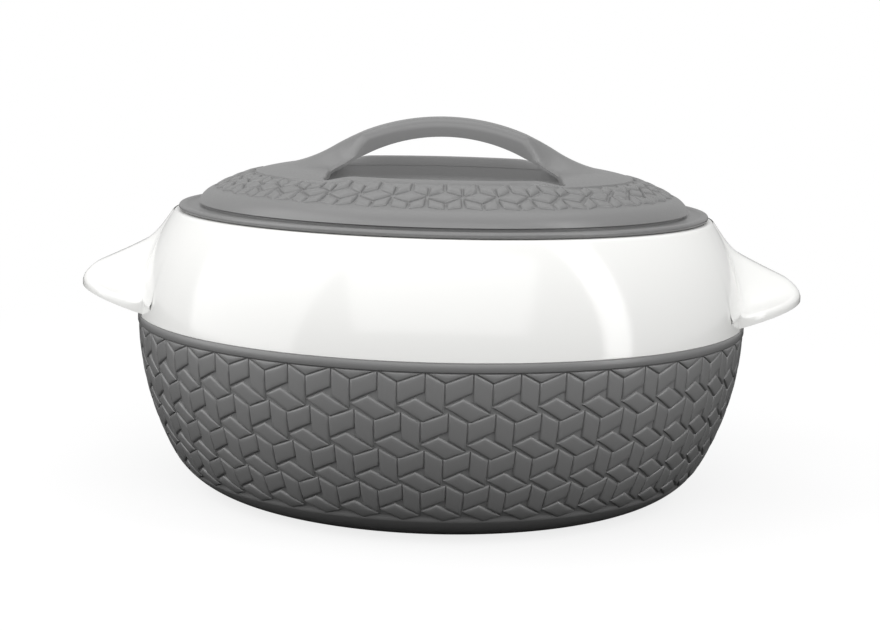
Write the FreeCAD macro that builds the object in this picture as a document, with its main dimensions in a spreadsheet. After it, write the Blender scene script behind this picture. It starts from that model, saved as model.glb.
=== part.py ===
import FreeCAD, Part
import math
import os
import re

import Sketcher
from FreeCAD import Vector

doc = FreeCAD.newDocument("casserole")
sizes = doc.addObject("Spreadsheet::Sheet", "Sizes")

# every size that can be set by itself, in millimetres and degrees
sizeList = [
    ("body_radius", "130", "shell and collar at their joint line"),
    ("joint_height", "74.5", "height of the joint line"),
    ("lip_height", "3.5", "plain lip of the shell"),
    ("lip_step", "0.35", "how far the side stands back from the lip"),
    ("side_bend", "120", "radius of the shell's side"),
    ("side_inset", "14.2", "how far the side draws in down to the knee"),
    ("knee_height", "17.4", "where side and knee meet"),
    ("knee_width", "28.4", "reach of the knee"),
    ("foot_width", "6.4", "flat of the foot ring"),
    ("foot_recess", "2.5", "panel above the ground"),
    ("wall", "2.5", "walls of shell, collar and lid"),
    ("plug_radius", "9", "filling hole in the base"),
    ("plug_head", "4", "how far the plug's head overlaps the panel"),
    ("plug_head_height", "1.2", "thickness of the plug's head"),
    ("press_play", "0.05", "clearance of pieces pressed together"),
    ("foam_gap", "0.3", "skin between foam and walls"),
    ("collar_lean", "4.8", "slope of the collar at the joint line"),
    ("collar_turn", "29.5", "how far the collar's wall turns inward"),
    ("collar_bend", "90", "radius of the collar's wall"),
    ("collar_edge_round", "2.5", "rounding of the collar's top edge"),
    ("skirt_depth", "10.5", "spigot that enters the shell"),
    ("skirt_wall", "2.2", "wall of the spigot"),
    ("skirt_taper", "0.85", "spigot's draft over its depth"),
    ("mouth_inset", "14.66", "bowl's mouth inside the collar's top edge"),
    ("rim_width", "7.5", "flat rim of the bowl"),
    ("rim_play", "0.9", "collar's step outside the rim"),
    ("ring_cover", "2.4", "thickness of the mouth ring"),
    ("ring_setback", "1", "mouth ring behind the bowl's mouth"),
    ("steel", "0.8", "sheet of the bowl"),
    ("ledge_thickness", "2.5", "ledge under the bowl's rim"),
    ("ledge_setback", "3", "ledge behind the bowl's mouth"),
    ("bowl_straight", "12", "straight part below the bowl's rim"),
    ("bowl_draft", "5.5", "how far the bowl narrows down to its corner"),
    ("bowl_corner", "18.5", "corner of the bowl"),
    ("bowl_floor", "20", "underside of the bowl"),
    ("ear_inset", "18", "centre of the ear's outline inside the joint line"),
    ("ear_round", "43", "radius of the ear's outline"),
    ("ear_ridge_rise", "28.1", "ridge above the joint line where it runs straight"),
    ("ear_ridge_reach", "16", "where the ridge runs straight, beyond that centre"),
    ("ear_ridge_slope", "0.45", "fall of the ridge"),
    ("ear_flare", "9.5", "rise of the ridge at the collar"),
    ("ear_flare_length", "6", "reach of that rise"),
    ("ear_half_width", "26.5", "half width of the stem at the collar"),
    ("ear_narrowing", "0.33", "narrowing of the stem outward"),
    ("ear_brim_rise", "3", "top of the brim above the joint line, at the collar"),
    ("ear_brim_slope", "0.21", "rise of the brim outward"),
    ("ear_brim_thickness", "4.2", "thickness of the brim"),
    ("ear_wall", "3", "wall of the hollow ear"),
    ("ear_tip_length", "7", "outer stretch of the ridge that bends down"),
    ("ear_tip_drop", "3.5", "how far it bends down there"),
    ("lid_gap", "0.3", "lid above the collar"),
    ("flange_inset", "2.46", "lid's flange inside the collar's top edge"),
    ("flange_thickness", "2.25", "edge of the lid's flange"),
    ("flange_width", "7.2", "flange from its edge to the crease"),
    ("crease_height", "1.5", "crease above the flange's underside"),
    ("band_height", "3.1", "top of the lid's steep band above its flange"),
    ("band_width", "7", "steep band from the crease to the dome"),
    ("dome_height", "9.2", "that edge above the flange's underside"),
    ("dome_bend", "85", "radius of the dome"),
    ("waist_inset", "9.5", "line where dome and handle meet, inside the openings' edge"),
    ("waist_height", "18.7", "that line above the flange's underside"),
    ("waist_bend", "60", "radius of the handle's feet"),
    ("crown_inset", "21", "edge of the handle's crown inside that line"),
    ("crown_height", "26.7", "that edge above the flange's underside"),
    ("crown_bend", "92", "radius of the handle's crown"),
    ("handle_thickness", "7.2", "handle at its crown"),
    ("window_inset", "19.5", "front edge of the openings inside the dome's edge"),
    ("window_half", "47", "half length of the openings"),
    ("window_corner", "6", "rounding of the openings at the handle"),
    ("handle_half", "11", "half width of the handle at its crown"),
    ("handle_flare", "6", "how much wider the handle is near its feet"),
    ("pan_wall", "2.2", "wall of the well's pan"),
    ("pan_setback", "0.7", "pan's wall behind the opening's edge"),
    ("pan_depth", "13", "depth of the pan below its rim"),
    ("pan_corner", "7", "corner of the pan"),
    ("pan_rim", "4.4", "width of the pan's rim"),
    ("lid_steel", "0.6", "sheet of the lid's plate"),
    ("plug_play", "1.3", "lid's plug inside the bowl's mouth"),
    ("plug_depth", "9.9", "lid's plug below the flange"),
    ("plug_wall", "2.3", "wall of the lid's plug"),
    ("plug_lip", "6.5", "lip that carries the plate"),
    ("plug_lip_height", "2", "thickness of that lip"),
    ("seal_play", "0.3", "seal inside the bowl's mouth"),
    ("seal_height", "2.6", "height of the seal's groove"),
    ("seal_depth", "1.2", "depth of the seal's groove"),
    ("seal_drop", "7.3", "seal's groove below the flange"),
]
for row, (name, value, note) in enumerate(sizeList, start=1):
    sizes.set(f"A{row}", note)
    sizes.set(f"B{row}", value)
    sizes.setAlias(f"B{row}", name)
doc.recompute()
aliasPattern = re.compile(r"\b(" + "|".join(name for name, value, note in sizeList) + r")\b")


def bound(expression):
    return aliasPattern.sub(r"Sizes.\1", expression)


def number(expression):
    return float(sizes.evalExpression(expression))


def plane(body, role):
    return [item for item in body.Origin.OriginFeatures if item.Role == role][0]


def sketchOn(body, role, name):
    sketch = body.newObject("Sketcher::SketchObject", name)
    sketch.AttachmentSupport = [(plane(body, role), "")]
    sketch.MapMode = "FlatFace"
    return sketch


def arcBetween(start, end, radius):
    # positive radius: the arc turns left on the way from start to end
    chord = end.sub(start)
    middle = (start + end) * 0.5
    left = Vector(-chord.y, chord.x, 0).normalize()
    reach = math.sqrt(max(radius * radius - chord.Length ** 2 / 4, 0))
    centre = middle + left * (reach if radius > 0 else -reach)
    first, last = (start, end) if radius > 0 else (end, start)
    startAngle = math.atan2(first.y - centre.y, first.x - centre.x)
    endAngle = math.atan2(last.y - centre.y, last.x - centre.x)
    return Part.ArcOfCircle(Part.Circle(centre, Vector(0, 0, 1), abs(radius)), startAngle, endAngle)


def place(sketch, edge, point, axis, expression):
    # pins one coordinate of a point to an expression of the sheet
    value = number(expression)
    if abs(value) < 1e-9:
        sketch.addConstraint(Sketcher.Constraint("PointOnObject", edge, point, -2 if axis == "X" else -1))
        return
    fixed = ("Distance" + axis, -1, 1, edge, point) if value > 0 else ("Distance" + axis, edge, point, -1, 1)
    index = sketch.addConstraint(Sketcher.Constraint(*fixed, abs(value)))
    sketch.setExpression(f"Constraints[{index}]", bound(expression if value > 0 else f"-({expression})"))


def outline(sketch, corners):
    # corners: (first, second) or (first, second, bend, turn), the bend being the radius on the way to
    # the next corner and the turn 1 for left and -1 for right
    points = [Vector(number(corner[0]), number(corner[1]), 0) for corner in corners]
    ends = []
    for index, corner in enumerate(corners):
        start, end = points[index], points[(index + 1) % len(points)]
        if len(corner) == 2:
            edge = sketch.addGeometry(Part.LineSegment(start, end), False)
            ends.append((edge, 1, 2))
        else:
            radius = number(corner[2]) * corner[3]
            edge = sketch.addGeometry(arcBetween(start, end, radius), False)
            ends.append((edge, 1, 2) if radius > 0 else (edge, 2, 1))
    for index, (edge, first, last) in enumerate(ends):
        following = ends[(index + 1) % len(ends)]
        sketch.addConstraint(Sketcher.Constraint("Coincident", edge, last, following[0], following[1]))
    for index, corner in enumerate(corners):
        edge, first, last = ends[index]
        place(sketch, edge, first, "X", corner[0])
        place(sketch, edge, first, "Y", corner[1])
        if len(corner) == 4:
            radius = sketch.addConstraint(Sketcher.Constraint("Radius", edge, number(corner[2])))
            sketch.setExpression(f"Constraints[{radius}]", bound(corner[2]))


def turned(name, corners):
    # a piece turned about the vertical axis from its half section
    body = doc.addObject("PartDesign::Body", name + "Body")
    body.Label = name
    section = sketchOn(body, "XZ_Plane", name + "Section")
    outline(section, corners)
    revolution = body.newObject("PartDesign::Revolution", name + "Turned")
    revolution.Profile = section
    revolution.ReferenceAxis = (section, ["V_Axis"])
    revolution.Angle = 360
    section.Visibility = False
    doc.recompute()
    return body


# base shell with its rounded knee, foot ring and recessed panel
kneeRadius = "(body_radius - side_inset)"
footRadius = f"({kneeRadius} - knee_width)"
kneeBend = f"((({kneeRadius} - {footRadius})^2 + knee_height^2) / (2 * knee_height))"
kneeOut = f"(({kneeRadius} - {footRadius}) / {kneeBend})"
kneeUp = f"(({kneeBend} - knee_height) / {kneeBend})"
sideTop = "(body_radius - lip_step)"
lipBottom = "(joint_height - lip_height)"
footInner = f"({footRadius} - foot_width)"
panelTop = "(foot_recess + wall)"
baseShell = turned("base_shell", [
    (footRadius, "0", kneeBend, 1),
    (kneeRadius, "knee_height", "side_bend", 1),
    (sideTop, lipBottom),
    ("body_radius", lipBottom),
    ("body_radius", "joint_height"),
    ("body_radius - wall", "joint_height"),
    (f"{sideTop} - wall", lipBottom, "side_bend - wall", -1),
    (f"{kneeRadius} - wall * {kneeOut}", f"knee_height + wall * {kneeUp}", f"{kneeBend} - wall", -1),
    (footRadius, "wall"),
    (f"{footInner} + wall", "wall"),
    (footInner, panelTop),
    ("plug_radius", panelTop),
    ("plug_radius", "foot_recess"),
    (f"{footInner} - wall", "foot_recess"),
    (footInner, "0"),
])

# plug that closes the filling hole
basePlug = turned("base_plug", [
    ("0", "foot_recess - plug_head_height"),
    ("plug_radius + plug_head - plug_head_height", "foot_recess - plug_head_height"),
    ("plug_radius + plug_head", "foot_recess"),
    ("plug_radius - press_play", "foot_recess"),
    ("plug_radius - press_play", panelTop),
    ("0", panelTop),
])

# collar: wall, step and ledge for the bowl's rim, spigot
collarOut = "(body_radius - collar_bend * cos(collar_lean))"
collarDown = "(joint_height - collar_bend * sin(collar_lean))"
collarEnd = "(collar_lean + collar_turn)"
collarEdge = f"({collarOut} + collar_bend * cos({collarEnd}))"
collarTop = f"({collarDown} + collar_bend * sin({collarEnd}))"
collarInner = "(collar_bend - wall)"
mouthRadius = f"({collarEdge} - mouth_inset)"
collarTrim = f"(collar_edge_round * tan((90 - {collarEnd}) / 2))"
collarRoundStart = f"({collarEnd} - asin({collarTrim} / collar_bend) / 1 deg)"
stepRadius = f"({mouthRadius} + rim_width + rim_play)"
rimTop = f"({collarTop} - ring_cover)"
ledgeTop = f"({rimTop} - steel)"
ledgeBottom = f"({ledgeTop} - ledge_thickness)"
skirtBottom = "(joint_height - skirt_depth)"
skirtOuter = "(body_radius - wall - press_play)"
skirtInner = "(body_radius - wall - skirt_taper - skirt_wall)"
seatHeight = "(joint_height + 2 * wall)"
seatRadius = f"({collarOut} + sqrt({collarInner}^2 - ({seatHeight} - {collarDown})^2))"
underTop = f"({collarTop} - wall)"
underRadius = f"({collarOut} + sqrt({collarInner}^2 - ({underTop} - {collarDown})^2))"
collarRing = turned("collarRing", [
    ("body_radius", "joint_height", "collar_bend", 1),
    (f"{collarOut} + collar_bend * cos({collarRoundStart})",
     f"{collarDown} + collar_bend * sin({collarRoundStart})", "collar_edge_round", 1),
    (f"{collarEdge} - {collarTrim}", collarTop),
    (stepRadius, collarTop),
    (stepRadius, ledgeTop),
    (f"{mouthRadius} + ledge_setback", ledgeTop),
    (f"{mouthRadius} + ledge_setback", ledgeBottom),
    (f"{stepRadius} + wall", ledgeBottom),
    (f"{stepRadius} + wall", underTop),
    (underRadius, underTop, collarInner, -1),
    (seatRadius, seatHeight),
    (skirtInner, "joint_height + wall"),
    (skirtInner, skirtBottom),
    (f"{skirtOuter} - skirt_taper", skirtBottom),
    (skirtOuter, "joint_height"),
])

# ears: a flared stem on a thin brim, hollow from below
earCentre = "(body_radius - ear_inset)"
earRidgeStart = f"({earCentre} + ear_ridge_reach)"
earRidge = "(joint_height + ear_ridge_rise)"
earBrim = "(joint_height + ear_brim_rise)"


def earHeight(x, y, inset):
    reach = x - number(earRidgeStart)
    rootReach = max(x - number(earCentre) - 2, 0)
    flare = number("ear_flare") * math.exp(-rootReach / number("ear_flare_length"))
    ridge = number(earRidge) - number("ear_ridge_slope") * reach + flare
    pastBend = x - number(f"{earCentre} + ear_round - ear_tip_length")
    ridge = ridge - number("ear_tip_drop") * max(0, pastBend / number("ear_tip_length")) ** 2
    ridge = min(ridge, number(collarTop)) - inset
    brim = number(earBrim) + number("ear_brim_slope") * (x - number(earCentre))
    brim = brim - (2 * number("ear_brim_thickness") if inset else 0)
    width = number("ear_half_width") - number("ear_narrowing") * (x - number(earCentre)) - inset
    power = 6 - 3 * (x - number(earCentre)) / number("ear_round")
    return brim + (ridge - brim) / (1 + (abs(y) / width) ** power)


def earAbove(inset):
    # everything over the ear's surface
    outer = number(f"{earCentre} + ear_round")
    across = number("ear_round") + 5
    inner = number(earCentre) - 0.6 * number("ear_round")
    xs = [inner + step * (outer + 3 - inner) / 20 for step in range(21)]
    ys = [-across + step * across / 12 for step in range(25)]
    grid = [[Vector(x, y, earHeight(x, y, inset)) for y in ys] for x in xs]
    surface = Part.BSplineSurface()
    surface.interpolate(grid)
    return surface.toShape().extrude(Vector(0, 0, 2 * number("joint_height")))


def earSolid():
    centre = Vector(number(earCentre), 0, 0)
    around = number("ear_round")
    tall = 2 * number("joint_height")
    slope = math.atan(number("ear_brim_slope + 0.04"))
    bottom = number(f"{earBrim} - ear_brim_thickness")
    block = Part.makeBox(4 * around, 4 * around, number("joint_height"), Vector(0, -2 * around, 0))
    block.rotate(Vector(0, 0, 0), Vector(0, 1, 0), -math.degrees(slope))
    back = number("ear_wall")
    block.translate(centre + Vector(-back, 0, bottom - back * math.tan(slope)))
    plan = Part.makeCylinder(around, tall, centre)
    ear = plan.common(block).cut(earAbove(0))
    hollowPlan = Part.makeCylinder(number("ear_round - 2 * ear_wall"), tall, centre)
    hollow = hollowPlan.cut(earAbove(number("ear_wall")))
    core = doc.getObject("collarCoreBody").Shape
    skin = doc.getObject("collarSkinBody").Shape
    return ear.cut(hollow.cut(skin)).cut(core)


collarCore = turned("collarCore", [
    ("0", skirtBottom),
    ("body_radius - wall / 2", skirtBottom),
    ("body_radius - wall / 2", "joint_height", "collar_bend - wall / 2", 1),
    (f"{collarEdge} - wall / 2", f"{collarTop} - wall / 4"),
    (f"{collarEdge} - wall / 2", f"{collarTop} + joint_height"),
    ("0", f"{collarTop} + joint_height"),
])
collarSkin = turned("collarSkin", [
    ("0", skirtBottom),
    ("body_radius + ear_wall / 2", skirtBottom),
    ("body_radius + ear_wall / 2", "joint_height", "collar_bend + ear_wall / 2", 1),
    (f"{collarEdge} + ear_wall / 2", f"{collarTop}"),
    (f"{collarEdge} + ear_wall / 2", f"{collarTop} + joint_height"),
    ("0", f"{collarTop} + joint_height"),
])
earRight = doc.addObject("Part::Feature", "earRight")
earRight.Shape = earSolid()
earLeft = doc.addObject("Part::Mirroring", "earLeft")
earLeft.Source = earRight
earLeft.Normal = Vector(1, 0, 0)
collar = doc.addObject("Part::MultiFuse", "collarFused")
collar.Shapes = [collarRing, earRight, earLeft]
collar.Label = "collar"
doc.recompute()

# ring that clamps the bowl's rim
mouthRing = turned("mouth_ring", [
    (f"{mouthRadius} + ring_setback", rimTop),
    (f"{stepRadius} - press_play", rimTop),
    (f"{stepRadius} - press_play", collarTop),
    (f"{mouthRadius} + 2 * ring_setback", collarTop),
    (f"{mouthRadius} + ring_setback", f"{collarTop} - ring_setback"),
])

# drawn steel bowl with its flat rim
bowlTop = "(bowl_floor + steel)"
bowlLowRadius = f"({mouthRadius} - bowl_draft)"
straightEnd = f"({rimTop} - bowl_straight)"
innerBowl = turned("inner_bowl", [
    ("0", "bowl_floor"),
    (f"{bowlLowRadius} - bowl_corner", "bowl_floor", "bowl_corner + steel", 1),
    (f"{bowlLowRadius} + steel", f"{bowlTop} + bowl_corner"),
    (f"{mouthRadius} + steel", straightEnd),
    (f"{mouthRadius} + steel", ledgeTop),
    (f"{mouthRadius} + rim_width", ledgeTop),
    (f"{mouthRadius} + rim_width", rimTop),
    (mouthRadius, rimTop),
    (mouthRadius, straightEnd),
    (bowlLowRadius, f"{bowlTop} + bowl_corner", "bowl_corner", -1),
    (f"{bowlLowRadius} - bowl_corner", bowlTop),
    ("0", bowlTop),
])

# foam between bowl and shells
foamSkin = "(wall + foam_gap)"
kneeInner = f"({kneeBend} - {foamSkin})"
foamBottom = f"({panelTop} + foam_gap)"
foamFoot = f"({footRadius} + sqrt({kneeInner}^2 - ({kneeBend} - {foamBottom})^2))"
foamTop = f"({ledgeBottom} - foam_gap)"
bowlSkin = "(steel + foam_gap)"
potFoam = turned("pot_foam", [
    ("0", foamBottom),
    (foamFoot, foamBottom, kneeInner, 1),
    (f"{kneeRadius} - {foamSkin} * {kneeOut}", f"knee_height + {foamSkin} * {kneeUp}", "side_bend - wall", 1),
    (f"{sideTop} - {foamSkin} - skirt_taper", f"{skirtBottom} - 2 * foam_gap"),
    (f"{skirtInner} - foam_gap", f"{skirtBottom} - 2 * foam_gap"),
    (f"{skirtInner} - foam_gap", "joint_height + wall + foam_gap"),
    (f"{seatRadius} - foam_gap", f"{seatHeight} + foam_gap", f"{collarInner}", 1),
    (f"{underRadius} - foam_gap", foamTop),
    (f"{mouthRadius} + {bowlSkin}", foamTop),
    (f"{mouthRadius} + {bowlSkin}", straightEnd),
    (f"{bowlLowRadius} + {bowlSkin}", f"{bowlTop} + bowl_corner", f"bowl_corner + {bowlSkin}", -1),
    (f"{bowlLowRadius} - bowl_corner", "bowl_floor - foam_gap"),
    ("0", "bowl_floor - foam_gap"),
])

# lid: dome, flange and the arched handle in one moulding
flangeBottom = f"({collarTop} + lid_gap)"
flangeRadius = f"({collarEdge} - flange_inset)"
creaseRadius = f"({flangeRadius} - flange_width)"
domeRadius = f"({creaseRadius} - band_width)"
windowRadius = f"({domeRadius} - window_inset)"
waistRadius = f"({windowRadius} - waist_inset)"
crownRadius = f"({waistRadius} - crown_inset)"
domeEdge = f"({flangeBottom} + dome_height)"
waistTop = f"({flangeBottom} + waist_height)"
crownEdge = f"({flangeBottom} + crown_height)"
crownSin = f"({crownRadius} / crown_bend)"
crownCos = f"(sqrt(crown_bend^2 - {crownRadius}^2) / crown_bend)"
crownTop = f"({crownEdge} + crown_bend * (1 - {crownCos}))"
bandRadius = f"({creaseRadius} - 0.4)"
lidCover = turned("lid_cover", [
    ("0", f"{crownTop} - handle_thickness", "crown_bend - handle_thickness", -1),
    (f"{crownRadius} - handle_thickness * {crownSin}", f"{crownEdge} - handle_thickness * {crownCos}",
     "waist_bend * 0.65", 1),
    (f"{waistRadius} - 0.3", f"{waistTop} - wall", "dome_bend - wall", -1),
    (f"{domeRadius} - wall / 2", f"{domeEdge} - 0.9 * wall", "3 * wall", -1),
    (f"{bandRadius} - wall", f"{flangeBottom} + band_height"),
    (f"{bandRadius} - wall", flangeBottom),
    (flangeRadius, flangeBottom, "flange_thickness * 0.55", 1),
    (flangeRadius, f"{flangeBottom} + flange_thickness"),
    (creaseRadius, f"{flangeBottom} + crease_height"),
    (bandRadius, f"{flangeBottom} + band_height", "4 * wall", 1),
    (domeRadius, domeEdge, "dome_bend", 1),
    (waistRadius, waistTop, "waist_bend", -1),
    (crownRadius, crownEdge, "crown_bend", 1),
    ("0", crownTop),
])
windowSide = f"sqrt({windowRadius}^2 - window_half^2)"
flareAt = "(window_half - window_corner)"
handleArc = f"(({flareAt}^2 + handle_flare^2) / (2 * handle_flare))"
window = sketchOn(lidCover, "XY_Plane", "windowOutline")
outline(window, [
    ("-window_half", f"-{windowSide}", windowRadius, 1),
    ("window_half", f"-{windowSide}"),
    ("window_half", "-(handle_half + handle_flare + window_corner)", "window_corner", 1),
    (flareAt, "-(handle_half + handle_flare)", handleArc, 1),
    (f"-{flareAt}", "-(handle_half + handle_flare)", "window_corner", 1),
    ("-window_half", "-(handle_half + handle_flare + window_corner)"),
])
opening = lidCover.newObject("PartDesign::Pocket", "windowFront")
opening.Profile = window
opening.Type = "ThroughAll"
opening.Reversed = True
doc.recompute()
openingBack = lidCover.newObject("PartDesign::Mirrored", "windowBack")
openingBack.Originals = [opening]
openingBack.MirrorPlane = (plane(lidCover, "XZ_Plane"), [""])
lidCover.Tip = openingBack
doc.recompute()

# pan that closes the well under the handle
panRadius = f"({windowRadius} + pan_setback)"
panTop = f"({domeEdge} - 0.9 * wall + ({domeRadius} - {panRadius}) * 0.36)"
panFloor = f"({panTop} - pan_depth)"
lidWell = turned("lid_well", [
    ("0", panFloor),
    (f"{panRadius} - pan_corner", panFloor, "pan_corner + pan_wall", 1),
    (f"{panRadius} + pan_wall", f"{panFloor} + pan_wall + pan_corner"),
    (f"{panRadius} + pan_wall", f"{panTop} - 1.4 * pan_wall"),
    (f"{panRadius} + pan_rim", f"{panTop} - 1.8 * pan_wall"),
    (f"{panRadius} + pan_rim", f"{panTop} - 0.8 * pan_wall"),
    (panRadius, panTop),
    (panRadius, f"{panFloor} + pan_wall + pan_corner", "pan_corner", -1),
    (f"{panRadius} - pan_corner", f"{panFloor} + pan_wall"),
    ("0", f"{panFloor} + pan_wall"),
])

# plug of the lid with its seal and plate
plugRadius = f"({mouthRadius} - plug_play)"
plugBottom = f"({flangeBottom} - plug_depth)"
shoulderRadius = f"({bandRadius} - wall - press_play)"
sealTop = f"({flangeBottom} - seal_drop + seal_height)"
sealBottom = f"({flangeBottom} - seal_drop)"
sealRadius = f"({plugRadius} - seal_depth)"
lipTop = f"({plugBottom} + plug_lip_height)"
linerTop = f"({flangeBottom} + 0.7 * band_height)"
lidLiner = turned("lid_liner", [
    (f"{plugRadius} - plug_lip", plugBottom),
    (f"{plugRadius} - 1", plugBottom),
    (plugRadius, f"{plugBottom} + 1"),
    (plugRadius, sealBottom),
    (sealRadius, sealBottom),
    (sealRadius, sealTop),
    (plugRadius, sealTop),
    (plugRadius, flangeBottom),
    (shoulderRadius, flangeBottom),
    (shoulderRadius, linerTop),
    (f"{plugRadius} - plug_wall", linerTop),
    (f"{plugRadius} - plug_wall", lipTop),
    (f"{plugRadius} - plug_lip", lipTop),
])
lidSeal = turned("lid_seal", [
    (f"{sealRadius} + press_play", f"{sealBottom} + press_play"),
    (f"{mouthRadius} - seal_play - seal_height / 3", f"{sealBottom} + press_play"),
    (f"{mouthRadius} - seal_play", f"{sealBottom} + seal_height / 2"),
    (f"{mouthRadius} - seal_play - seal_height / 3", f"{sealTop} - press_play"),
    (f"{sealRadius} + press_play", f"{sealTop} - press_play"),
])
plateTop = f"({lipTop} + lid_steel)"
lidPlate = turned("lid_plate", [
    ("0", lipTop),
    (f"{plugRadius} - plug_wall - press_play", lipTop),
    (f"{plugRadius} - plug_wall - press_play", plateTop),
    ("0", plateTop),
])

# foam of the lid
lidFoam = turned("lid_foam", [
    ("0", f"{plateTop} + foam_gap"),
    (f"{plugRadius} - plug_wall - foam_gap", f"{plateTop} + foam_gap"),
    (f"{plugRadius} - plug_wall - foam_gap", f"{linerTop} + foam_gap"),
    (f"{shoulderRadius} - 1.2 * wall", f"{linerTop} + foam_gap"),
    (f"{domeRadius} - wall", f"{domeEdge} - 1.4 * wall"),
    (f"{panRadius} + pan_rim + foam_gap", f"{panTop} - 2 * pan_wall"),
    (f"{panRadius} + pan_wall + foam_gap", f"{panTop} - 2 * pan_wall"),
    (f"{panRadius} + pan_wall + foam_gap", f"{panFloor} + pan_wall + pan_corner",
     "pan_corner + pan_wall + foam_gap", -1),
    (f"{panRadius} - pan_corner", f"{panFloor} - foam_gap"),
    ("0", f"{panFloor} - foam_gap"),
])

nodes = [baseShell, basePlug, collar, mouthRing, innerBowl, potFoam,
         lidCover, lidWell, lidFoam, lidLiner, lidPlate, lidSeal]
for node in nodes:
    node.Placement = FreeCAD.Placement()
doc.recompute()

for item in doc.Objects:
    if "Invalid" in item.State or "Error" in item.State:
        raise RuntimeError(f"{item.Name} failed: {item.State}")
os.makedirs("parts", exist_ok=True)
for node in nodes:
    if node.Shape.isNull() or not node.Shape.isValid():
        raise RuntimeError(f"{node.Label} has no valid shape")
    node.Shape.exportStep(f"parts/{node.Label}.step")
    print(node.Label, round(node.Shape.Volume), len(node.Shape.Solids), node.Shape.BoundBox)
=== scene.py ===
import math

import bpy
import numpy as np
from mathutils import Matrix, Vector
from mathutils.geometry import delaunay_2d_cdt


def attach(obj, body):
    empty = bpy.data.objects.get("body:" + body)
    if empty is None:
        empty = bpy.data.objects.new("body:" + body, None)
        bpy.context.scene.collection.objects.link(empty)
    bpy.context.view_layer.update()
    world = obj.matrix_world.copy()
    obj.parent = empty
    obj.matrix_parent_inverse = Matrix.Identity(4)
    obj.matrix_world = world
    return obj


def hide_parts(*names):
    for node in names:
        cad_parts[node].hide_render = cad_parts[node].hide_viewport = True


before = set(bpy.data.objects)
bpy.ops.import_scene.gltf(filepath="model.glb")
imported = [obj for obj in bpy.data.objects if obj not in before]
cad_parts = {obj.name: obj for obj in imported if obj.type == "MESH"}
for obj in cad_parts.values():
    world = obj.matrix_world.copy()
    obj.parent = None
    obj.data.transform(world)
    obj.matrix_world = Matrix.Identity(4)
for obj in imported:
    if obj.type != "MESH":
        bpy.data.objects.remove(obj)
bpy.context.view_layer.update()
print("frame loaded:", len(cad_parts), "nodes")

mm = 0.001


# colour and materials

def linearColour(hexValue):
    channels = [int(hexValue[i:i + 2], 16) / 255 for i in (1, 3, 5)]
    return [c / 12.92 if c <= 0.04045 else ((c + 0.055) / 1.055) ** 2.4 for c in channels] + [1]


def addNode(tree, kind, settings=None, links=None):
    # links: input name -> output socket of another node
    node = tree.nodes.new(kind)
    for key, value in (settings or {}).items():
        if hasattr(node, key):
            setattr(node, key, value)
        else:
            node.inputs[key].default_value = value
    for key, socket in (links or {}).items():
        tree.links.new(socket, node.inputs[key])
    return node


def newMaterial(name, colour, settings, grain):
    # grain: spot size in mm, bump height in mm and the roughness it swings between
    material = bpy.data.materials.new(name)
    material.use_nodes = True
    tree = material.node_tree
    shader = tree.nodes["Principled BSDF"]
    shader.inputs["Base Color"].default_value = linearColour(colour)
    for key, value in settings.items():
        shader.inputs[key].default_value = value
    place = addNode(tree, "ShaderNodeTexCoord")
    noise = addNode(tree, "ShaderNodeTexNoise", {"Scale": 1 / (grain["size"] * mm), "Detail": 3.0},
                    {"Vector": place.outputs["Object"]})
    low, high = grain["roughness"]
    spread = addNode(tree, "ShaderNodeMapRange",
                     {"From Min": 0.3, "From Max": 0.7, "To Min": low, "To Max": high},
                     {"Value": noise.outputs["Fac"]})
    tree.links.new(spread.outputs["Result"], shader.inputs["Roughness"])
    bump = addNode(tree, "ShaderNodeBump", {"Strength": 1.0, "Distance": grain["height"] * mm},
                   {"Height": noise.outputs["Fac"]})
    tree.links.new(bump.outputs["Normal"], shader.inputs["Normal"])
    return material


# polypropylene moulded in an eroded tool: even grey, soft broad highlights
greyPolypropylene = newMaterial("greyPolypropylene", "#7a7a7a", {"IOR": 1.49, "Metallic": 0.0},
                                {"size": 0.9, "height": 0.006, "roughness": (0.30, 0.38)})
# polypropylene moulded in a polished tool: glossy, slightly warm white
whitePolypropylene = newMaterial("whitePolypropylene", "#ededeb", {"IOR": 1.49, "Metallic": 0.0},
                                 {"size": 6.0, "height": 0.002, "roughness": (0.10, 0.14)})
# stainless steel, drawn and polished: bright with faint turning marks
drawnStainless = newMaterial("drawnStainless", "#c9c6c1", {"Metallic": 1.0},
                             {"size": 2.5, "height": 0.0015, "roughness": (0.20, 0.26)})
# rigid polyurethane foam poured in place: matt cells under a millimetre
pouredFoam = newMaterial("pouredFoam", "#d9c58a", {"IOR": 1.45},
                         {"size": 0.8, "height": 0.08, "roughness": (0.85, 0.95)})
# moulded silicone: matt, slightly translucent white
mouldedSilicone = newMaterial("mouldedSilicone", "#d8d8d6", {"IOR": 1.41},
                              {"size": 0.6, "height": 0.004, "roughness": (0.48, 0.56)})
print("materials made")


# mesh building, all lengths in millimetres

def arcPoints(start, end, radius, turn, steps):
    # turn 1 bends left on the way from start to end, -1 right
    a, b = np.array(start, float), np.array(end, float)
    chord = b - a
    left = np.array([-chord[1], chord[0]]) / np.linalg.norm(chord)
    centre = (a + b) / 2 + turn * left * math.sqrt(max(radius ** 2 - chord @ chord / 4, 0))
    first = math.atan2(*(a - centre)[::-1])
    last = math.atan2(*(b - centre)[::-1])
    sweep = (last - first) % (2 * math.pi) if turn > 0 else -((first - last) % (2 * math.pi))
    angles = first + sweep * np.linspace(0, 1, steps + 1)
    return [tuple(centre + radius * np.array([math.cos(t), math.sin(t)])) for t in angles]


def smoothShare(values):
    share = np.clip(values, 0, 1)
    return share * share * (3 - 2 * share)


def chain(*parts):
    # joins runs of points, leaving out repeated ones
    points = []
    for part in parts:
        for point in (part if isinstance(part, list) else [part]):
            if not points or math.dist(points[-1], point) > 1e-4:
                points.append(point)
    return points


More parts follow.
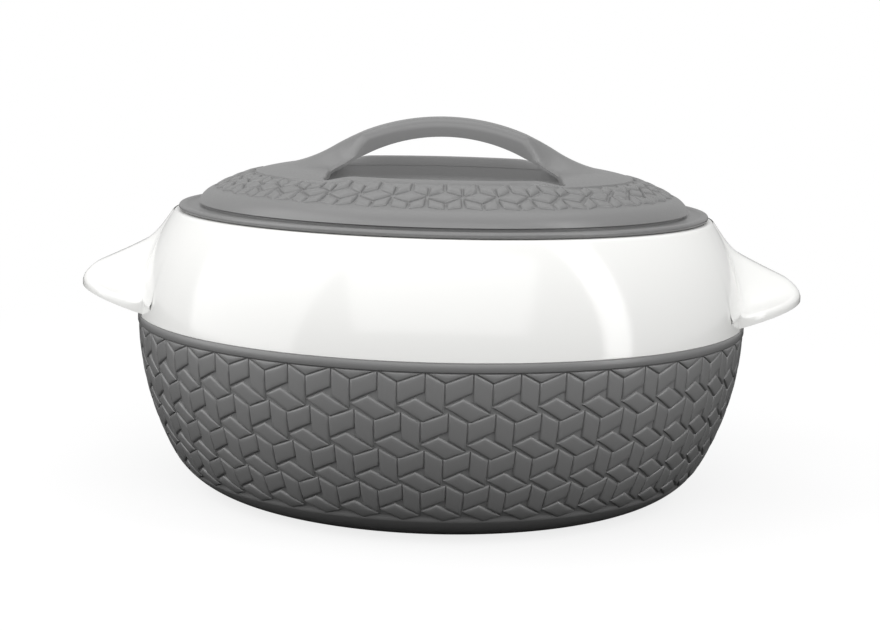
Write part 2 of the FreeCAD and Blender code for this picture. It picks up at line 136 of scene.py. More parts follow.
def addPiece(name, vertices, faces, material, body, slot, sharp=35):
    mesh = bpy.data.meshes.new(name)
    mesh.from_pydata([tuple(v) for v in np.asarray(vertices, float) * mm], [],
                     [list(map(int, f)) for f in faces])
    mesh.validate()
    mesh.polygons.foreach_set("use_smooth", [True] * len(mesh.polygons))
    mesh.set_sharp_from_angle(angle=math.radians(sharp))
    mesh.materials.append(material)
    piece = bpy.data.objects.new(name, mesh)
    bpy.context.scene.collection.objects.link(piece)
    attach(piece, body)
    return piece


def joinParts(parts):
    vertices, faces, start = [], [], 0
    for points, polygons in parts:
        vertices.append(np.asarray(points, float))
        faces += [[index + start for index in polygon] for polygon in polygons]
        start += len(points)
    return np.vstack(vertices), faces


def lathe(profile, segments, closed=True):
    # turns (radius, height) points about the vertical axis; the profile runs with the solid on its left
    count = len(profile)
    angles = np.arange(segments) * 2 * math.pi / segments
    ring = np.array(profile, float)
    vertices = np.stack([np.outer(np.sin(angles), ring[:, 0]), -np.outer(np.cos(angles), ring[:, 0]),
                         np.tile(ring[:, 1], (segments, 1))], -1).reshape(-1, 3)
    faces = []
    for i in range(segments):
        j = (i + 1) % segments
        for k in range(count if closed else count - 1):
            n = (k + 1) % count
            quad = [i * count + k, j * count + k, j * count + n, i * count + n]
            if ring[k][0] < 1e-6 and ring[n][0] < 1e-6:
                continue
            if ring[k][0] < 1e-6:
                quad = [quad[0], quad[2], quad[3]]
            elif ring[n][0] < 1e-6:
                quad = quad[:3]
            faces.append(quad)
    return vertices, faces


class Surface:
    # a turned surface measured by the distance run along its profile
    def __init__(self, profile):
        self.points = np.array(profile, float)
        steps = np.linalg.norm(np.diff(self.points, axis=0), axis=1)
        self.run = np.concatenate([[0], np.cumsum(steps)])
        slope = np.gradient(self.points, self.run, axis=0)
        slope /= np.linalg.norm(slope, axis=1)[:, None]
        self.normal = np.stack([-slope[:, 1], slope[:, 0]], 1)
        if self.normal[0][0] < 0:
            self.normal = -self.normal

    def at(self, angle, run, rise):
        r, z = [np.interp(run, self.run, self.points[:, i]) + rise * np.interp(run, self.run, self.normal[:, i])
                for i in (0, 1)]
        return np.stack([r * np.sin(angle), -r * np.cos(angle), z], -1)


def insetCorners(corners, distance):
    # moves every edge of a convex outline inward
    points = np.array(corners, float)
    count = len(points)
    centre = points.mean(axis=0)
    lines = []
    for i in range(count):
        a, b = points[i], points[(i + 1) % count]
        normal = np.array([-(b - a)[1], (b - a)[0]]) / np.linalg.norm(b - a)
        if (centre - a) @ normal < 0:
            normal = -normal
        lines.append((normal, normal @ a + distance))
    result = []
    for i in range(count):
        (n1, c1), (n2, c2) = lines[i - 1], lines[i]
        result.append(np.linalg.solve(np.array([n1, n2]), np.array([c1, c2])))
    return np.array(result)


def facet(surface, corners, toAngle, origin, shape):
    # one raised field of the relief: rings from the ground up over its bevelled edge to a pillowed top
    perEdge = 3
    rings = []
    for inset, rise in shape["rings"]:
        outline = insetCorners(corners, inset)
        around = [outline[i] + (outline[(i + 1) % len(outline)] - outline[i]) * step / perEdge
                  for i in range(len(outline)) for step in range(perEdge)]
        around = np.array(around) + origin
        rings.append(surface.at(around[:, 0] * toAngle, around[:, 1], rise))
    centre = np.array(corners).mean(axis=0) + origin
    count = len(rings[0])
    vertices = np.vstack(rings + [surface.at(np.array([centre[0] * toAngle]), np.array([centre[1]]),
                                             shape["crown"])])
    faces = []
    for k in range(len(rings) - 1):
        for i in range(count):
            j = (i + 1) % count
            faces.append([k * count + i, k * count + j, (k + 1) * count + j, (k + 1) * count + i])
    last = (len(rings) - 1) * count
    faces += [[last + i, last + (i + 1) % count, len(vertices) - 1] for i in range(count)]
    area = np.cross(np.array(corners[1]) - corners[0], np.array(corners[2]) - corners[0])
    if area > 0:
        faces = [polygon[::-1] for polygon in faces]
    return vertices, faces


# base shell: woven relief on a turned shell

baseSizes = {
    "lipRadius": 130.0, "lipHeight": 74.5, "lipWidth": 3.5, "sideTop": (129.65, 71.0), "sideBend": 120.0,
    "knee": (115.8, 17.4), "innerKnee": 18.6, "footRadius": 87.4, "footFlat": 6.4, "recess": 2.5,
    "plugRadius": 9.0, "wall": 2.5, "columns": 46, "firstColumn": -0.3, "patternRadius": 129.0,
    "rowStep": 15.2, "rows": 4, "lastFields": 3.6, "groundDepth": 0.85,
}
# fields of one weave cell, measured from the top of its upright line: across, down
weaveFields = {
    "rising": [(-10.2, 4.1), (0.0, 0.2), (0.0, 7.6), (-10.2, 12.5)],
    "upright": [(0.1, 0.3), (7.2, 4.1), (7.2, 15.6), (0.1, 11.1)],
    "falling": [(-10.1, 13.2), (-3.5, 9.8), (6.9, 15.7), (-0.6, 19.3)],
}
weaveTop = [(0.6, 0.3), (17.0, 0.3), (7.6, 4.2)]
# inset from the field's edge and rise above the shell, ring by ring
weaveShape = {"rings": [(0.0, -0.85), (0.14, -0.42), (0.38, -0.17), (0.85, -0.05), (1.8, 0.0)],
              "crown": 0.05}


def buildBase():
    s = baseSizes
    kneeBend = ((s["knee"][0] - s["footRadius"]) ** 2 + s["knee"][1] ** 2) / (2 * s["knee"][1])
    down = chain(arcPoints(s["sideTop"], s["knee"], s["sideBend"], -1, 60),
                 arcPoints(s["knee"], (s["footRadius"], 0), kneeBend, -1, 40))
    skin = Surface(down)
    pitch = 2 * math.pi * s["patternRadius"] / s["columns"]
    toAngle = 2 * math.pi / s["columns"] / pitch
    patternEnd = s["rows"] * s["rowStep"] + s["lastFields"]
    ground = []
    for run, (r, z), normal in zip(skin.run, skin.points, skin.normal):
        depth = s["groundDepth"] * min(1, run / 0.5) * min(1, max(0, (patternEnd - run) / 1.5))
        ground.append(tuple(np.array([r, z]) - depth * normal))
    wall, foot, lip = s["wall"], s["footRadius"], s["lipRadius"]
    innerKnee, innerTop = (s["knee"][0] - wall, s["innerKnee"]), (s["sideTop"][0] - wall, s["sideTop"][1])
    inner = chain((foot, wall), arcPoints((foot, wall), innerKnee, kneeBend - wall, 1, 10),
                  arcPoints(innerKnee, innerTop, s["sideBend"] - wall, 1, 12))
    lipLow, panel, recess = s["lipHeight"] - s["lipWidth"], foot - s["footFlat"], s["recess"]
    profile = chain((lip - wall, s["lipHeight"]), (lip - 0.4, s["lipHeight"]), (lip, s["lipHeight"] - 0.4),
                    (lip, lipLow + 0.3), (lip - 0.2, lipLow), ground, (panel, 0), (panel - wall, recess),
                    (s["plugRadius"], recess), (s["plugRadius"], recess + wall), (panel, recess + wall),
                    (panel + wall, wall), inner)
    parts = [lathe(profile[::-1], 8 * s["columns"])]
    for row in range(s["rows"]):
        for column in range(s["columns"]):
            across = (column + s["firstColumn"] + 0.5 * (row % 2)) * pitch
            origin = np.array([across, row * s["rowStep"]])
            for corners in weaveFields.values():
                parts.append(facet(skin, corners, toAngle, origin, weaveShape))
            if row == 0:
                parts.append(facet(skin, weaveTop, toAngle, origin, weaveShape))
    vertices, faces = joinParts(parts)
    piece = addPiece("baseShellWoven", vertices, faces, greyPolypropylene, "pot", "grey_plastic", 50)
    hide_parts("base_shell")


buildBase()
print("base shell built")


# collar with its two ears

collarSizes = {
    "radius": 130.0, "bottom": 74.5, "lean": 4.8, "turn": 29.5, "bend": 90.0, "wall": 2.5,
    "edgeRound": 2.5,
    "step": 108.4, "ledge": 103.0, "ledgeDepth": 3.2, "ledgeThickness": 2.5, "innerLow": (126.84, 79.5),
    "skirtBottom": 64.0, "skirt": 126.6, "skirtWall": 2.2,
    "earCentre": 112.0, "earRound": 43.0, "ridge": 102.4, "ridgeStart": 128.0, "ridgeSlope": 0.45,
    "flare": 7.5, "flareLength": 6.0, "halfWidth": 26.5, "narrowing": 0.33,
    "brim": 77.5, "brimSlope": 0.21,
    "tipLength": 7.0, "tipDrop": 3.5, "under": 73.3, "underSlope": 0.25, "blend": 5.0, "brimRound": 1.7,
    "earWall": 3.0, "hollowDrop": 8.4, "hollowStart": 131.6, "rimMargin": 6.0, "sideMargin": 3.0,
    "hollowBlend": 2.0, "rootInset": 0.7, "earAngle": 25.0, "earTop": 117.0, "earLow": 76.5,
}


def earTop(x, y, inset=0.0):
    s = collarSizes
    # height of the ear's upper side, or of the hollow below it where inset is its wall
    out = x - s["earCentre"]
    rise = s["flare"] * np.exp(-np.maximum(out - 2, 0) / s["flareLength"])
    tip = np.maximum(0, out - s["earRound"] + s["tipLength"]) / s["tipLength"]
    ridge = s["ridge"] - s["ridgeSlope"] * (x - s["ridgeStart"]) + rise - s["tipDrop"] * tip ** 2 - inset
    brim = s["brim"] + s["brimSlope"] * out - (s["hollowDrop"] if inset else 0)
    width = s["halfWidth"] - s["narrowing"] * out - inset
    return brim + (ridge - brim) / (1 + (np.abs(y) / width) ** (6 - 3 * out / s["earRound"]))


def buildCollar():
    s = collarSizes
    lean, end = math.radians(s["lean"]), math.radians(s["lean"] + s["turn"])
    cx = s["radius"] - s["bend"] * math.cos(lean)
    cz = s["bottom"] - s["bend"] * math.sin(lean)
    edge, top = cx + s["bend"] * math.cos(end), cz + s["bend"] * math.sin(end)
    trim = s["edgeRound"] * math.tan((math.pi / 2 - end) / 2)
    start = end - trim / s["bend"]
    roundStart = (cx + s["bend"] * math.cos(start), cz + s["bend"] * math.sin(start))
    ledge = top - s["ledgeDepth"]
    ledgeLow = ledge - s["ledgeThickness"]
    inward, spigot = s["step"] + s["wall"], s["skirt"] - s["skirtWall"]
    innerTop = (edge - 1.3, top - s["wall"])
    profile = chain(arcPoints((s["radius"] - 0.15, s["bottom"] + 0.25), roundStart, s["bend"], 1, 48),
                    arcPoints(roundStart, (edge - trim, top), s["edgeRound"], 1, 8),
                    (s["step"], top), (s["step"], ledge), (s["ledge"], ledge), (s["ledge"], ledgeLow),
                    (inward, ledgeLow), (inward, innerTop[1]),
                    arcPoints(innerTop, s["innerLow"], s["bend"] - s["wall"], -1, 12),
                    (spigot, s["bottom"] + 2.5), (spigot, s["skirtBottom"]), (s["skirt"], s["skirtBottom"]),
                    (s["radius"] - 2.55, s["bottom"]), (s["radius"] - 0.4, s["bottom"]))
    parts = [lathe(profile, 360)]
    for side in (1, -1):
        parts.append(earShell(side, cx, cz))
    vertices, faces = joinParts(parts)
    piece = addPiece("collarWithEars", vertices, faces, whitePolypropylene, "pot", "white_plastic", 40)
    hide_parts("collar")


def earShell(side, cx, cz):
    # upper side from the collar's wall out to the brim's edge, then back along the hollow underside
    s = collarSizes
    columns = np.radians(np.linspace(-s["earAngle"], s["earAngle"], 121))
    root = np.clip(s["earRound"] ** 2 - (s["earCentre"] * np.sin(columns)) ** 2, 0, None)
    reach = np.maximum(s["earCentre"] * np.cos(columns) + np.sqrt(root), s["radius"] - s["rootInset"])
    reach[root == 0] = s["radius"] - s["rootInset"]
    heights = np.linspace(s["earTop"], s["earLow"], 46)
    inside = cx + np.sqrt(s["bend"] ** 2 - (heights - cz) ** 2)
    outside = np.linspace(0, 1, 46)[1:] ** 1.5

    def grid(fractions):
        return inside[-1] + (reach[:, None] - inside[-1]) * fractions[None, :]

    radii = np.hstack([np.tile(inside, (len(columns), 1)), grid(outside)])
    x, y = radii * np.cos(columns)[:, None], radii * np.sin(columns)[:, None]
    rimGap = np.clip(s["earRound"] - np.hypot(x - s["earCentre"], y), 0, s["brimRound"])
    roundDrop = s["brimRound"] - np.sqrt(s["brimRound"] ** 2 - (s["brimRound"] - rimGap) ** 2)
    roundDrop[:, :len(heights)] = 0
    surfaceTop = earTop(x, y) - roundDrop
    low, high = np.full(x.shape, 60.0), np.full(x.shape, 118.0)
    # height where the blended wall and ear meet the outside, found by halving
    for _ in range(40):
        z = (low + high) / 2
        wallGap = np.hypot(radii - cx, z - cz) - s["bend"]
        earGap = (z - surfaceTop) * 0.85
        near = np.maximum(s["blend"] - np.abs(wallGap - earGap), 0) / s["blend"]
        gap = np.minimum(wallGap, earGap) - near ** 2 * s["blend"] / 4 + 0.03
        low, high = np.where(gap < 0, z, low), np.where(gap < 0, high, z)
    z = np.minimum((low + high) / 2, 117.4)
    flat = s["under"] + s["underSlope"] * (x - s["earCentre"])
    underRadii = grid(np.linspace(1, 0, 40))
    ux, uy = underRadii * np.cos(columns)[:, None], underRadii * np.sin(columns)[:, None]
    out = ux - s["earCentre"]
    under = s["under"] + s["underSlope"] * out
    pocket = np.minimum.reduce([s["earRound"] - s["rimMargin"] - np.hypot(out, uy),
                                np.hypot(ux, uy) - s["hollowStart"],
                                s["halfWidth"] - s["narrowing"] * out - s["sideMargin"] - np.abs(uy)])
    ceiling = np.maximum(earTop(ux, uy, s["earWall"]), under)
    under = under + (ceiling - under) * smoothShare(pocket / s["hollowBlend"])
    edgeLow = flat[:, -1:] + 0.5
    layersX = np.hstack([x, x[:, -1:], ux])
    layersY = np.hstack([y, y[:, -1:], uy])
    layersZ = np.hstack([z, np.minimum(edgeLow, z[:, -1:]), under])
    vertices = np.stack([side * layersX, side * layersY, layersZ], -1).reshape(-1, 3)
    rows = layersX.shape[1]
    faces = []
    for i in range(len(columns) - 1):
        for k in range(rows - 1):
            faces.append([i * rows + k, i * rows + k + 1, (i + 1) * rows + k + 1, (i + 1) * rows + k])
    return vertices, faces


buildCollar()
print("collar built")


# lid: domed cover with raised cube relief, flange and arched handle

lidSizes = {
    "flangeBottom": 117.98, "flangeRadius": 112.2, "flangeThickness": 2.25,
    "band": (104.6, 121.08), "dome": (98.0, 127.18), "domeBend": 85.0,
    "waist": (69.0, 136.68), "waistBend": 60.0, "crown": (48.0, 144.68), "crownBend": 92.0,
    "handleThickness": 7.2, "wall": 2.5,
    "underBand": (102.1, 121.0), "underDome": (96.75, 124.93), "underBend": 7.5,
    "lipRadius": 77.8, "windowHalf": 47.0, "corner": 13.0, "lipCorner": 4.2, "handleHalf": 11.0,
    "flare": 6.0, "flareAt": 34.0, "narrowFrom": 29.0, "narrowOver": 17.0, "footBlend": 15.0,
    "lipRound": 0.9, "handleRound": 4.2, "roundWithin": 34.0, "roundOver": 12.0, "thinnest": 1.2,
    "rimRise": 2.1, "riseFrom": 0.80, "riseOver": 0.10, "riseReach": 92.0,
    "grooveDepth": 1.2, "grooveLow": 1.7, "beadWidth": 2.6,
    "fieldInner": 80.6, "groundDepth": 0.75, "columns": 42, "firstColumn": 0.05, "patternRadius": 90.0,
    "spacing": 1.9,
}
# fields of one cube, across in columns from its upright line, then radius on the lid
cubeFields = [
    [(-0.50, 91.0), (-0.03, 94.0), (-0.03, 98.8), (-0.46, 96.4)],
    [(0.03, 93.9), (0.44, 89.9), (0.42, 96.2), (0.03, 98.8)],
    [(-0.49, 90.0), (-0.05, 86.6), (0.42, 88.9), (-0.01, 92.8)],
    [(0.00, 81.6), (0.47, 84.0), (0.47, 88.4), (0.04, 85.9)],
    [(0.53, 83.9), (0.94, 81.2), (0.93, 85.6), (0.53, 88.3)],
]
cubeShape = {"rings": [(-0.1, -0.75), (0.12, -0.2), (0.45, 0.15), (0.9, 0.34), (1.5, 0.44)],
             "crown": 0.5}


def lidProfile():
    # upper and lower side of the cover from the middle of the arch out to the dome's edge
    s = lidSizes
    crownCos = math.sqrt(s["crownBend"] ** 2 - s["crown"][0] ** 2) / s["crownBend"]
    crownTop = s["crown"][1] + s["crownBend"] * (1 - crownCos)
    outer = chain(arcPoints((0, crownTop), s["crown"], s["crownBend"], -1, 60),
                  arcPoints(s["crown"], s["waist"], s["waistBend"], 1, 30),
                  arcPoints(s["waist"], s["dome"], s["domeBend"], -1, 40))
    thick = s["handleThickness"]
    low = (s["crown"][0] - thick * s["crown"][0] / s["crownBend"], s["crown"][1] - thick * crownCos)
    waistIn = (s["waist"][0] - 0.3, s["waist"][1] - s["wall"])
    domeIn = (s["dome"][0] - s["wall"] / 2, s["dome"][1] - 0.9 * s["wall"])
    inner = chain(arcPoints((0, crownTop - thick), low, s["crownBend"] - thick, -1, 60),
                  arcPoints(low, waistIn, s["waistBend"] * 0.65, 1, 30),
                  arcPoints(waistIn, domeIn, s["domeBend"] - s["wall"], -1, 30))
    return np.array(outer), np.array(inner)


def windowOutline():
    # front opening, in plan, with its lip in front and the handle behind, as evenly spaced points
    s = lidSizes
    half, lip, corner = s["windowHalf"], s["lipRadius"], s["corner"]
    lipEnd = (half - 3, -math.sqrt(lip ** 2 - (half - 3) ** 2))
    lipStart = (-lipEnd[0], lipEnd[1])
    side = -math.sqrt(lip ** 2 - half ** 2) + 4.5
    behind = -(s["handleHalf"] + s["flare"])
    flareEnd, flareStart = (s["flareAt"], behind), (-s["flareAt"], behind)
    handleArc = (s["flareAt"] ** 2 + s["flare"] ** 2) / (2 * s["flare"])
    loop = chain(arcPoints(lipStart, lipEnd, lip, 1, 60),
                 arcPoints(lipEnd, (half, side), s["lipCorner"], 1, 6),
                 arcPoints((half, behind - corner), flareEnd, corner, 1, 8),
                 arcPoints(flareEnd, flareStart, handleArc, 1, 60),
                 arcPoints(flareStart, (-half, behind - corner), corner, 1, 8),
                 arcPoints((-half, side), lipStart, s["lipCorner"], 1, 6))
    loop = np.array(loop[:-1])
    closed = np.vstack([loop, loop[:1]])
    run = np.concatenate([[0], np.cumsum(np.linalg.norm(np.diff(closed, axis=0), axis=1))])
    marks = np.linspace(0, run[-1], 261)[:-1]
    return np.stack([np.interp(marks, run, closed[:, 0]), np.interp(marks, run, closed[:, 1])], 1)


def coverHeight(x, y, outer):
    # dome of the cover with the arch raised along its middle, blended down beside its feet
    s = lidSizes
    waist = s["waist"]
    radius, across = np.hypot(x, y), np.abs(x)

    def domeAt(r):
        return np.where(r < waist[0], waist[1], np.interp(r, outer[:, 0], outer[:, 1]))

    lift = np.interp(across, outer[:, 0], outer[:, 1]) - domeAt(across)
    strap = s["handleHalf"] + s["flare"] * np.minimum(across / s["flareAt"], 1) ** 2
    half = strap + (s["handleHalf"] / 2 - strap) * smoothShare(
        (across - s["narrowFrom"]) / s["narrowOver"])
    return domeAt(radius) + lift * smoothShare(1 - (np.abs(y) - half) / s["footBlend"])


def buildLid():
    s = lidSizes
    outer, inner = lidProfile()
    loop = windowOutline()
    loops = [loop, loop[::-1] * [1, -1]]
    # plan of the cover: lines beside each opening's edge, the ring inside the cubes, a grid between them
    rounding = [0.0, 0.12, 0.4, 0.8, 1.5, 2.6, 4.2]
    flat, edges = [], []
    for outline in loops:
        ahead, behind = np.roll(outline, -1, axis=0), np.roll(outline, 1, axis=0)
        tangent = (ahead - behind) / np.linalg.norm(ahead - behind, axis=1)[:, None]
        outward = np.stack([tangent[:, 1], -tangent[:, 0]], 1)
        for distance in rounding:
            start = len(flat)
            moved = outline + outward * distance
            if distance > 0:
                moved = moved[np.hypot(moved[:, 0], moved[:, 1]) < s["fieldInner"] - 0.3]
            flat += [tuple(p) for p in moved]
            if distance == 0:
                edges += [(start + i, start + (i + 1) % len(outline)) for i in range(len(outline))]
    around = 12 * s["columns"]
    start = len(flat)
    flat += [(s["fieldInner"] * math.sin(a), -s["fieldInner"] * math.cos(a))
             for a in np.arange(around) * 2 * math.pi / around]
    edges += [(start + i, start + (i + 1) % around) for i in range(around)]
    rim = np.vstack(loops)
    spans = np.vstack([np.roll(outline, -1, axis=0) - outline for outline in loops])
    lengths = (spans ** 2).sum(axis=1)

    def gapTo(points):
        gaps = []
        for point in points:
            along = np.clip(((point - rim) * spans).sum(axis=1) / lengths, 0, 1)
            gaps.append(np.linalg.norm(point - rim - along[:, None] * spans, axis=1).min())
        return np.array(gaps)

    reach = math.ceil(s["fieldInner"] / s["spacing"])
    fill = [(x * s["spacing"], y * s["spacing"]) for x in range(-reach, reach + 1)
            for y in range(-reach, reach + 1)]
    fill = np.array([p for p in fill if math.hypot(*p) < s["fieldInner"] - 0.9])
    flat += [tuple(p) for p in fill[gapTo(fill) > 5.2]]
    points, _, triangles, _, _, _ = delaunay_2d_cdt([Vector(p) for p in flat], edges, [], 0, 1e-6)
    points = np.array([tuple(p) for p in points])

    def insideWindow(x, y):
        y = -abs(y)
        hit = False
        for i in range(len(loop)):
            (x1, y1), (x2, y2) = loop[i - 1], loop[i]
            if (y1 > y) != (y2 > y) and x < (x2 - x1) * (y - y1) / (y2 - y1) + x1:
                hit = not hit
        return hit

    kept = []
    for triangle in triangles:
        middle = points[list(triangle)].mean(axis=0)
        if math.hypot(*middle) < s["fieldInner"] + 0.01 and not insideWindow(*middle):
            kept.append(list(triangle))
    # heights over that plan, with the openings' edges rounded over
    radius = np.hypot(points[:, 0], points[:, 1])
    gap = gapTo(points)
    byHandle = smoothShare((s["roundWithin"] - np.abs(points[:, 1])) / s["roundOver"])
    bend = s["lipRound"] + (s["handleRound"] - s["lipRound"]) * byHandle
    drop = bend - np.sqrt(bend ** 2 - (bend - np.clip(gap, 0, bend)) ** 2)
    bottom = np.interp(radius, inner[:, 0], inner[:, 1])
    top = np.maximum(coverHeight(points[:, 0], points[:, 1], outer) - drop, bottom + s["thinnest"])
    top[radius > s["fieldInner"] - 0.01] = np.interp(s["fieldInner"], outer[:, 0], outer[:, 1])
    count = len(points)
    vertices = np.vstack([np.column_stack([points, top]), np.column_stack([points, bottom])])
    faces = []
    rimIndex = {}
    for a, b, c in kept:
        faces.append([a, b, c])
        faces.append([c + count, b + count, a + count])
        for edge in ((a, b), (b, c), (c, a)):
            rimIndex[edge] = rimIndex.get(edge, 0) + 1
    for (a, b) in rimIndex:
        if (b, a) not in rimIndex and max(radius[a], radius[b]) < s["fieldInner"] - 0.3:
            faces.append([b, a, a + count, b + count])
    # turned part outside that ring: ground of the cubes, band, flange and underside
    ringTop = (s["fieldInner"], float(np.interp(s["fieldInner"], outer[:, 0], outer[:, 1])))
    ringLow = (s["fieldInner"], float(np.interp(s["fieldInner"], inner[:, 0], inner[:, 1])))
    outerRun = [tuple(p) for p in outer if p[0] > s["fieldInner"] + 0.2]
    ground = Surface(chain(ringTop, outerRun))
    sunk = []
    for run, point, normal in zip(ground.run, ground.points, ground.normal):
        up = normal if normal[1] > 0 else -normal
        depth = s["groundDepth"] * min(1, run / 0.5) * min(1, max(0, (s["dome"][0] + 1 - point[0]) / 5.0))
        sunk.append(tuple(point - depth * up))
    bottomFlange, thick = s["flangeBottom"], s["flangeThickness"]
    innerRun = [tuple(p) for p in inner if p[0] > s["fieldInner"] + 0.2][::-1]
    # a groove runs under the band, behind the flange's bead
    (bandRadius, bandLow), bead = s["band"], s["flangeRadius"] - s["beadWidth"]
    flangeTop, grooveLow = bottomFlange + thick, bottomFlange + s["grooveLow"]
    grooveIn = bandRadius - s["grooveDepth"]
    skirt = chain(sunk, arcPoints(s["dome"], s["band"], 10.0, -1, 14), (bandRadius - 0.3, bandLow - 0.1),
                  (grooveIn, bandLow - 0.5), (grooveIn, grooveLow + 0.3), (bandRadius - 0.8, grooveLow),
                  (bead - 0.6, grooveLow), (bead, flangeTop - 0.2), (bead + 0.5, flangeTop),
                  (s["flangeRadius"] - 0.2, flangeTop),
                  arcPoints((s["flangeRadius"], flangeTop), (s["flangeRadius"], bottomFlange),
                            thick * 0.55, -1, 10),
                  (s["underBand"][0], bottomFlange), s["underBand"],
                  arcPoints(s["underBand"], s["underDome"], s["underBend"], 1, 6), innerRun, ringLow)
    parts = [(vertices, faces), lathe(skirt[::-1], around, closed=False)]
    pitch = 2 * math.pi / s["columns"] * s["patternRadius"]
    skin = Surface([tuple(p) for p in outer[outer[:, 0] > 70]])
    skin.normal = np.where(skin.normal[:, 1:] < 0, -skin.normal, skin.normal)
    for column in range(s["columns"]):
        for corners in cubeFields:
            flatCorners = [(c * pitch, np.interp(r, skin.points[:, 0], skin.run)) for c, r in corners]
            origin = np.array([(column + s["firstColumn"]) * pitch, 0])
            parts.append(facet(skin, flatCorners, 1 / s["patternRadius"], origin, cubeShape))
    vertices, faces = joinParts(parts)
    # the surface before and behind the well rises to its rim
    radius = np.hypot(vertices[:, 0], vertices[:, 1])
    turned = np.abs(vertices[:, 1]) / np.maximum(radius, 1)
    rising = smoothShare((turned - s["riseFrom"]) / s["riseOver"])
    rising = rising * smoothShare((s["riseReach"] - radius) / (s["riseReach"] - s["lipRadius"]))
    under = np.interp(radius, inner[:, 0], inner[:, 1])
    onTop = (radius > s["lipRadius"] - 0.1) & (vertices[:, 2] > under + 0.5)
    vertices[:, 2] += s["rimRise"] * rising * onTop
    piece = addPiece("lidCoverRelief", vertices, faces, greyPolypropylene, "lid", "grey_plastic", 40)
    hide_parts("lid_cover")


buildLid()
print("lid built")


# turned inner pieces

panSizes = {"radius": 77.95, "wall": 2.2, "corner": 7.0, "rim": 4.4, "top": 132.4, "floor": 118.7}


def buildPan():
    s = panSizes
    r, wall = s["radius"], s["wall"]
    floorTop = s["floor"] + wall
    profile = chain((0, s["floor"]),
                    arcPoints((r - s["corner"], s["floor"]), (r + wall, floorTop + s["corner"]),
                              s["corner"] + wall, 1, 10),
                    (r + wall, s["top"] - 3.1), (r + s["rim"], s["top"] - 4.0),
                    (r + s["rim"], s["top"] - 1.8), (r, s["top"]),
                    arcPoints((r, floorTop + s["corner"]), (r - s["corner"], floorTop),
                              s["corner"], -1, 12), (0, floorTop))
    piece = addPiece("wellPan", *lathe(profile, 240), greyPolypropylene, "lid", "grey_plastic")
    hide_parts("lid_well")


bowlSizes = {"mouth": 100.0, "rim": 107.5, "top": 115.25, "steel": 0.8, "straight": 12.0, "low": 94.5,
             "corner": 18.5, "floor": 20.0}


def buildBowl():
    s = bowlSizes
    t = s["steel"]
    inside = s["floor"] + t
    profile = chain((0, s["floor"]),
                    arcPoints((s["low"] - s["corner"], s["floor"]), (s["low"] + t, inside + s["corner"]),
                              s["corner"] + t, 1, 16),
                    (s["mouth"] + t, s["top"] - s["straight"]), (s["mouth"] + t, s["top"] - t),
                    (s["rim"], s["top"] - t), (s["rim"], s["top"]), (s["mouth"] + 0.5, s["top"]),
                    (s["mouth"], s["top"] - 0.5), (s["mouth"], s["top"] - s["straight"]),
                    arcPoints((s["low"], inside + s["corner"]), (s["low"] - s["corner"], inside),
                              s["corner"], -1, 18),
                    (0, inside))
    piece = addPiece("drawnBowl", *lathe(profile, 240), drawnStainless, "pot", "stainless")
    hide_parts("inner_bowl")


buildPan()
buildBowl()
finishes = {"base_plug": greyPolypropylene, "mouth_ring": whitePolypropylene, "pot_foam": pouredFoam,
            "lid_foam": pouredFoam, "lid_liner": whitePolypropylene, "lid_plate": drawnStainless,
            "lid_seal": mouldedSilicone}
for name, material in finishes.items():
    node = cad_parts[name]
    node.data.materials.clear()
    node.data.materials.append(material)
print("inner pieces finished")


# floor, lights and camera

studio = {
    "floorColour": "#303030", "floorSize": 8.0, "glowNear": 0.8, "nearRadius": 0.17, "farRadius": 0.55,
    "worldFill": 0.52,
    "lamps": [
        {"name": "leftSoftbox", "place": (-1.16, -0.29, 0.65), "size": (1.3, 1.4), "power": 11.0},
        {"name": "rightStrip", "place": (1.09, -0.53, 0.65), "size": (0.28, 1.4), "power": 6.0},
        {"name": "frontSoftbox", "place": (0.0, -1.5, 1.1), "size": (2.2, 1.4), "power": 17.0},
        {"name": "topSoftbox", "place": (0.0, 0.2, 1.3), "size": (1.4, 1.0), "power": 3.0},
    ],
    "camera": {"place": (-0.43, -745.2, 185.6), "down": 8.65, "roll": 1.42, "lens": 70.8},
}


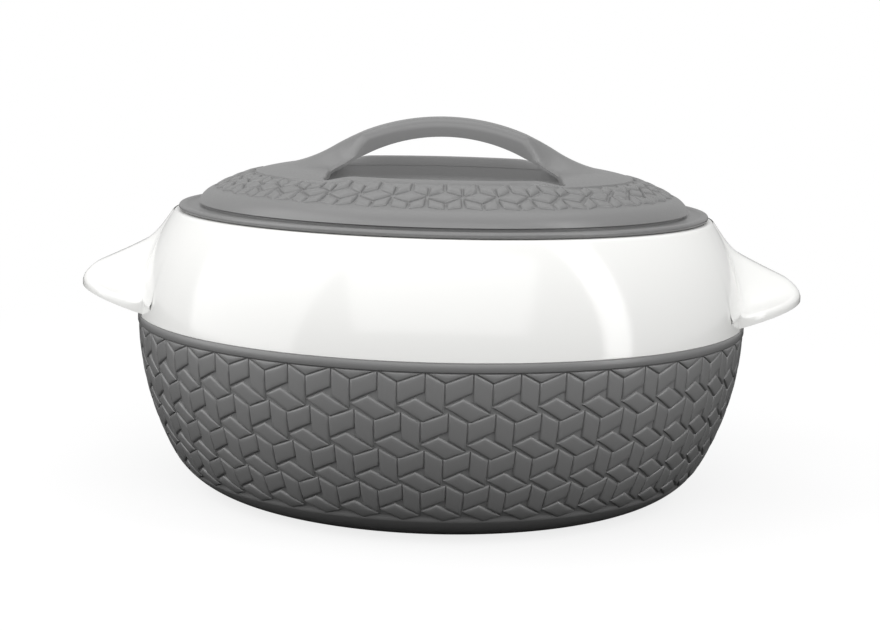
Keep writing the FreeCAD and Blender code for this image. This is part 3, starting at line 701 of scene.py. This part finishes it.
def buildStudio():
    half = studio["floorSize"] / 2
    mesh = bpy.data.meshes.new("studioFloor")
    corners = [(-half, -half, 0), (half, -half, 0), (half, half, 0), (-half, half, 0)]
    mesh.from_pydata(corners, [], [[0, 1, 2, 3]])
    floor = bpy.data.objects.new("studioFloor", mesh)
    bpy.context.scene.collection.objects.link(floor)
    material = bpy.data.materials.new("palePaper")
    material.use_nodes = True
    tree = material.node_tree
    tree.nodes.clear()
    path = addNode(tree, "ShaderNodeLightPath")
    # the camera sees white paper that glows toward the horizon, the object stands on a darker floor
    tone = addNode(tree, "ShaderNodeMix", {"data_type": "RGBA"})
    tree.links.new(path.outputs["Is Camera Ray"], tone.inputs[0])
    tone.inputs[6].default_value = linearColour(studio["floorColour"])
    tone.inputs[7].default_value = (1, 1, 1, 1)
    paper = addNode(tree, "ShaderNodeBsdfDiffuse", None, {"Color": tone.outputs[2]})
    glow = addNode(tree, "ShaderNodeEmission", {"Color": (1, 1, 1, 1), "Strength": 1.0})
    where = addNode(tree, "ShaderNodeTexCoord")
    reach = addNode(tree, "ShaderNodeVectorMath", {"operation": "LENGTH"}, {0: where.outputs["Object"]})
    rise = addNode(tree, "ShaderNodeMapRange",
                   {"From Min": studio["nearRadius"], "From Max": studio["farRadius"],
                    "To Min": studio["glowNear"], "To Max": 1.0}, {"Value": reach.outputs["Value"]})
    share = addNode(tree, "ShaderNodeMath", {"operation": "MULTIPLY"},
                    {0: path.outputs["Is Camera Ray"], 1: rise.outputs["Result"]})
    both = addNode(tree, "ShaderNodeMixShader", None, {0: share.outputs[0], 1: paper.outputs[0],
                                                       2: glow.outputs[0]})
    # clear from below, so that the underside can be looked at
    side = addNode(tree, "ShaderNodeNewGeometry")
    clear = addNode(tree, "ShaderNodeBsdfTransparent")
    shown = addNode(tree, "ShaderNodeMixShader", None, {0: side.outputs["Backfacing"], 1: both.outputs[0],
                                                        2: clear.outputs[0]})
    addNode(tree, "ShaderNodeOutputMaterial", None, {"Surface": shown.outputs[0]})
    mesh.materials.append(material)

    world = bpy.data.worlds.new("studioWorld")
    bpy.context.scene.world = world
    world.use_nodes = True
    tree = world.node_tree
    tree.nodes.clear()
    path = addNode(tree, "ShaderNodeLightPath")
    seen = addNode(tree, "ShaderNodeMath", {"operation": "MAXIMUM"})
    tree.links.new(path.outputs["Is Camera Ray"], seen.inputs[0])
    tree.links.new(path.outputs["Is Transmission Ray"], seen.inputs[1])
    white = addNode(tree, "ShaderNodeBackground", {"Color": (1, 1, 1, 1), "Strength": 1.0})
    fill = addNode(tree, "ShaderNodeBackground", {"Color": (1, 1, 1, 1), "Strength": studio["worldFill"]})
    both = addNode(tree, "ShaderNodeMixShader", None, {0: seen.outputs[0], 1: fill.outputs[0],
                                                       2: white.outputs[0]})
    addNode(tree, "ShaderNodeOutputWorld", None, {"Surface": both.outputs[0]})

    for lamp in studio["lamps"]:
        light = bpy.data.lights.new(lamp["name"], "AREA")
        light.shape = "RECTANGLE"
        light.size, light.size_y = lamp["size"]
        light.energy = lamp["power"]
        holder = bpy.data.objects.new(lamp["name"], light)
        holder.location = lamp["place"]
        aim = Vector((0, 0, 0.08)) - Vector(lamp["place"])
        holder.rotation_euler = aim.to_track_quat("-Z", "Y").to_euler()
        bpy.context.scene.collection.objects.link(holder)

    settings = studio["camera"]
    camera = bpy.data.cameras.new("photoCamera")
    camera.lens = settings["lens"]
    camera.sensor_width = 36
    camera.clip_start = 0.01
    holder = bpy.data.objects.new("photoCamera", camera)
    bpy.context.scene.collection.objects.link(holder)
    down, roll = math.radians(settings["down"]), math.radians(settings["roll"])
    forward = Vector((0, math.cos(down), -math.sin(down)))
    right, up = Vector((1, 0, 0)), Vector((0, math.sin(down), math.cos(down)))
    # rolled camera: its right axis turns toward up
    rolledRight = right * math.cos(roll) + up * math.sin(roll)
    rolledUp = up * math.cos(roll) - right * math.sin(roll)
    place = Vector(settings["place"]) * mm
    rows = [[rolledRight[i], rolledUp[i], -forward[i], place[i]] for i in range(3)]
    holder.matrix_world = Matrix(rows + [[0, 0, 0, 1]])
    bpy.context.scene.camera = holder


buildStudio()
bpy.context.scene.view_settings.view_transform = "Standard"
print("studio built")
